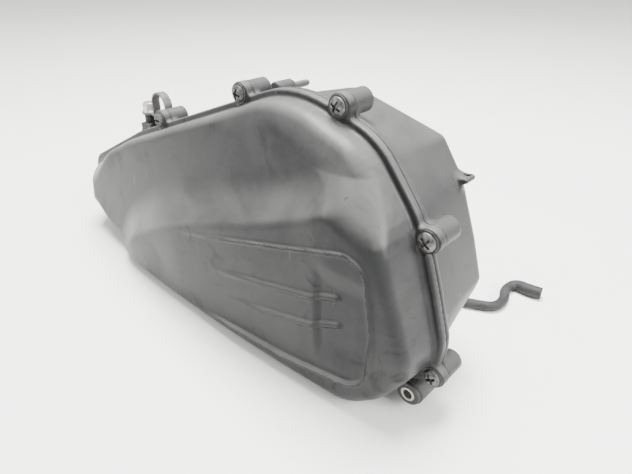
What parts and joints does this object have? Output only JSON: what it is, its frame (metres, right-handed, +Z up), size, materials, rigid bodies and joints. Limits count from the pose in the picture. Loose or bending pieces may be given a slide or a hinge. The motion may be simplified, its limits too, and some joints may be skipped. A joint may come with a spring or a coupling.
{
  "type": "air filter box",
  "caption": "Clamshell air filter box for a scooter engine: bulged screwed cover, rear casing, pleated panel element, rubber outlet boot, inlet snorkel and drain hose.",
  "frame": {"origin": "middle of the footprint on the surface the box rests on, without the drain hose", "axes": "+X along the box from the narrow inlet end to the wide end, +Y from the cover to the rear (outlet boot side), +Z up"},
  "size_m": [0.4196, 0.2177, 0.1893],
  "materials": {
    "cover_plastic": "satin black polypropylene, dusty haze, scuffs along the edges",
    "case_plastic": "satin black polypropylene, slightly greyed",
    "inner_plastic": "clean black polypropylene inside the box",
    "screw_steel": "black-coated steel, worn on the cross recess",
    "washer_steel": "black-coated steel",
    "zinc_steel": "zinc-plated steel",
    "rubber": "black moulded rubber",
    "hose_rubber": "dusty black extruded rubber",
    "paper": "oiled pleated filter paper",
    "foam": "grey seal foam",
    "brass": "plain brass",
    "clip_strap": "dark rubber-coated strap"
  },
  "bodies": {
    "casing": {"case": "case_plastic", "cover_gasket": "rubber", "inner_plate": "inner_plastic", "plate_screws": "zinc_steel", "outlet_boot": "rubber", "outlet_funnel": "inner_plastic", "outlet_clamp": "zinc_steel", "clamp_screw": "zinc_steel", "inlet_duct": "rubber", "breather_nipple": "inner_plastic", "drain_nipple": "inner_plastic", "drain_hose": "hose_rubber", "hose_clip": "zinc_steel", "mount_bush": "rubber", "mount_collar": "zinc_steel", "cable_clip": "clip_strap", "clip_bolt": "zinc_steel", "clip_insert": "brass"},
    "cover": {"cover": "cover_plastic"},
    "screws": {"cover_screws": "screw_steel", "screw_washers": "washer_steel"},
    "element": {"element_frame": "inner_plastic", "element_pleats": "paper", "element_seal": "foam"}
  },
  "joints": [
    {"name": "cover_pull", "type": "slide", "parent": "casing", "child": "cover", "axis": [0, -1, 0], "range_m": [0, 0.13]},
    {"name": "screws_out", "type": "slide", "parent": "cover", "child": "screws", "axis": [0, -1, 0], "range_m": [0, 0.026]},
    {"name": "element_pull", "type": "slide", "parent": "casing", "child": "element", "axis": [0, -1, 0], "range_m": [0, 0.06]}
  ],
  "couplings": [
    {"joint": "screws_out", "follows": "cover_pull", "ratio": 0.2},
    {"joint": "element_pull", "follows": "cover_pull", "ratio": 0.46}
  ]
}
